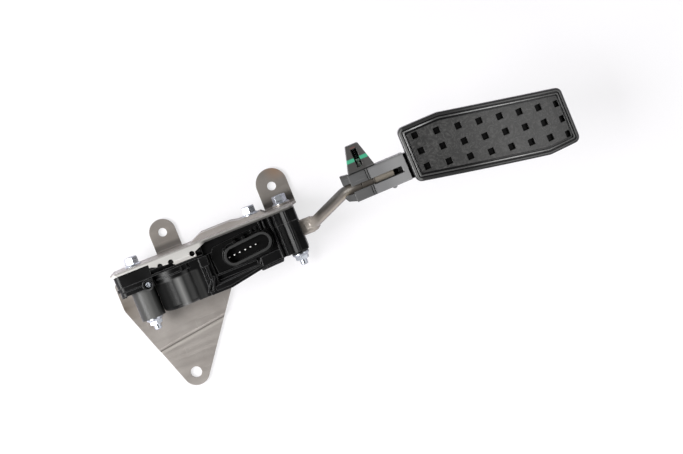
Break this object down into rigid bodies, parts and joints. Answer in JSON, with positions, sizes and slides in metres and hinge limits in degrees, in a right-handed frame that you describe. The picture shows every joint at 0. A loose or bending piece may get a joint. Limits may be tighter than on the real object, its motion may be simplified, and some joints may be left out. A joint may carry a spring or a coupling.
{
  "type": "accelerator pedal",
  "caption": "Car accelerator pedal: folded steel bracket, moulded sensor housing, bent steel arm and a curved rubber-faced foot pad.",
  "frame": {"origin": "centre of the bracket's tongue hole, on the face that lies on the car", "axes": "+X along the housing towards the foot pad, +Y across to the bracket's upright web and its two ears, +Z away from the car towards the foot"},
  "size_m": [0.3885, 0.1446, 0.102],
  "materials": {
    "bracket_steel": "satin grey coated sheet",
    "housing_plastic": "black moulded, faintly glossy",
    "connector_plastic": "black moulded",
    "holder_plastic": "dark grey moulded, fine grain",
    "fastener_zinc": "bright zinc plate",
    "terminal_metal": "bright plated",
    "shaft_steel": "ground",
    "arm_steel": "dull brown-grey coated bar",
    "spring_steel": "oiled wire",
    "bush_plastic": "natural bearing plastic",
    "stop_rubber": "dull",
    "board_laminate": "green circuit board",
    "magnet_ferrite": "sintered",
    "pad_rubber": "black, satin face and glossier rim"
  },
  "bodies": {
    "base": {"mounting_bracket": "bracket_steel", "pedal_housing": "housing_plastic", "housing_cover": "housing_plastic", "housing_screw": "fastener_zinc", "flange_bolt_left": "fastener_zinc", "flange_bolt_middle": "fastener_zinc", "flange_bolt_right": "fastener_zinc", "flange_nut_left": "fastener_zinc", "flange_nut_right": "fastener_zinc", "lower_pivot_bush": "bush_plastic", "upper_pivot_bush": "bush_plastic", "idle_stop": "stop_rubber", "travel_stop": "stop_rubber", "sensor_connector": "connector_plastic", "sensor_board": "board_laminate", "terminal_pin_1": "terminal_metal", "terminal_pin_2": "terminal_metal", "terminal_pin_3": "terminal_metal", "terminal_pin_4": "terminal_metal", "terminal_pin_5": "terminal_metal", "terminal_pin_6": "terminal_metal", "outer_return_spring": "spring_steel", "inner_return_spring": "spring_steel"},
    "swing_arm": {"pedal_arm": "arm_steel", "arm_hub": "housing_plastic", "pivot_shaft": "shaft_steel", "friction_shoe": "bush_plastic", "rotor_magnet": "magnet_ferrite", "spring_seat": "bush_plastic", "pad_holder": "holder_plastic", "plunger_spring": "spring_steel", "pad_carrier": "housing_plastic", "pad_cover": "pad_rubber"},
    "plunger": {"lock_plunger": "terminal_metal"}
  },
  "joints": [
    {"name": "arm_pivot", "type": "hinge", "parent": "base", "child": "swing_arm", "pos_m": [0.0169, 0.0806, 0.0245], "axis": [0, 1, 0], "range_deg": [0, 7.6], "stiffness_Nm_per_rad": 30, "springref_deg": -9.17, "deforming": ["outer_return_spring", "inner_return_spring"]},
    {"name": "plunger_slide", "type": "slide", "parent": "swing_arm", "child": "plunger", "axis": [-0.0218, 0.9998, 0], "range_m": [0, 0.0025], "stiffness_N_per_m": 1500, "springref_m": -0.002, "deforming": ["plunger_spring"]}
  ]
}
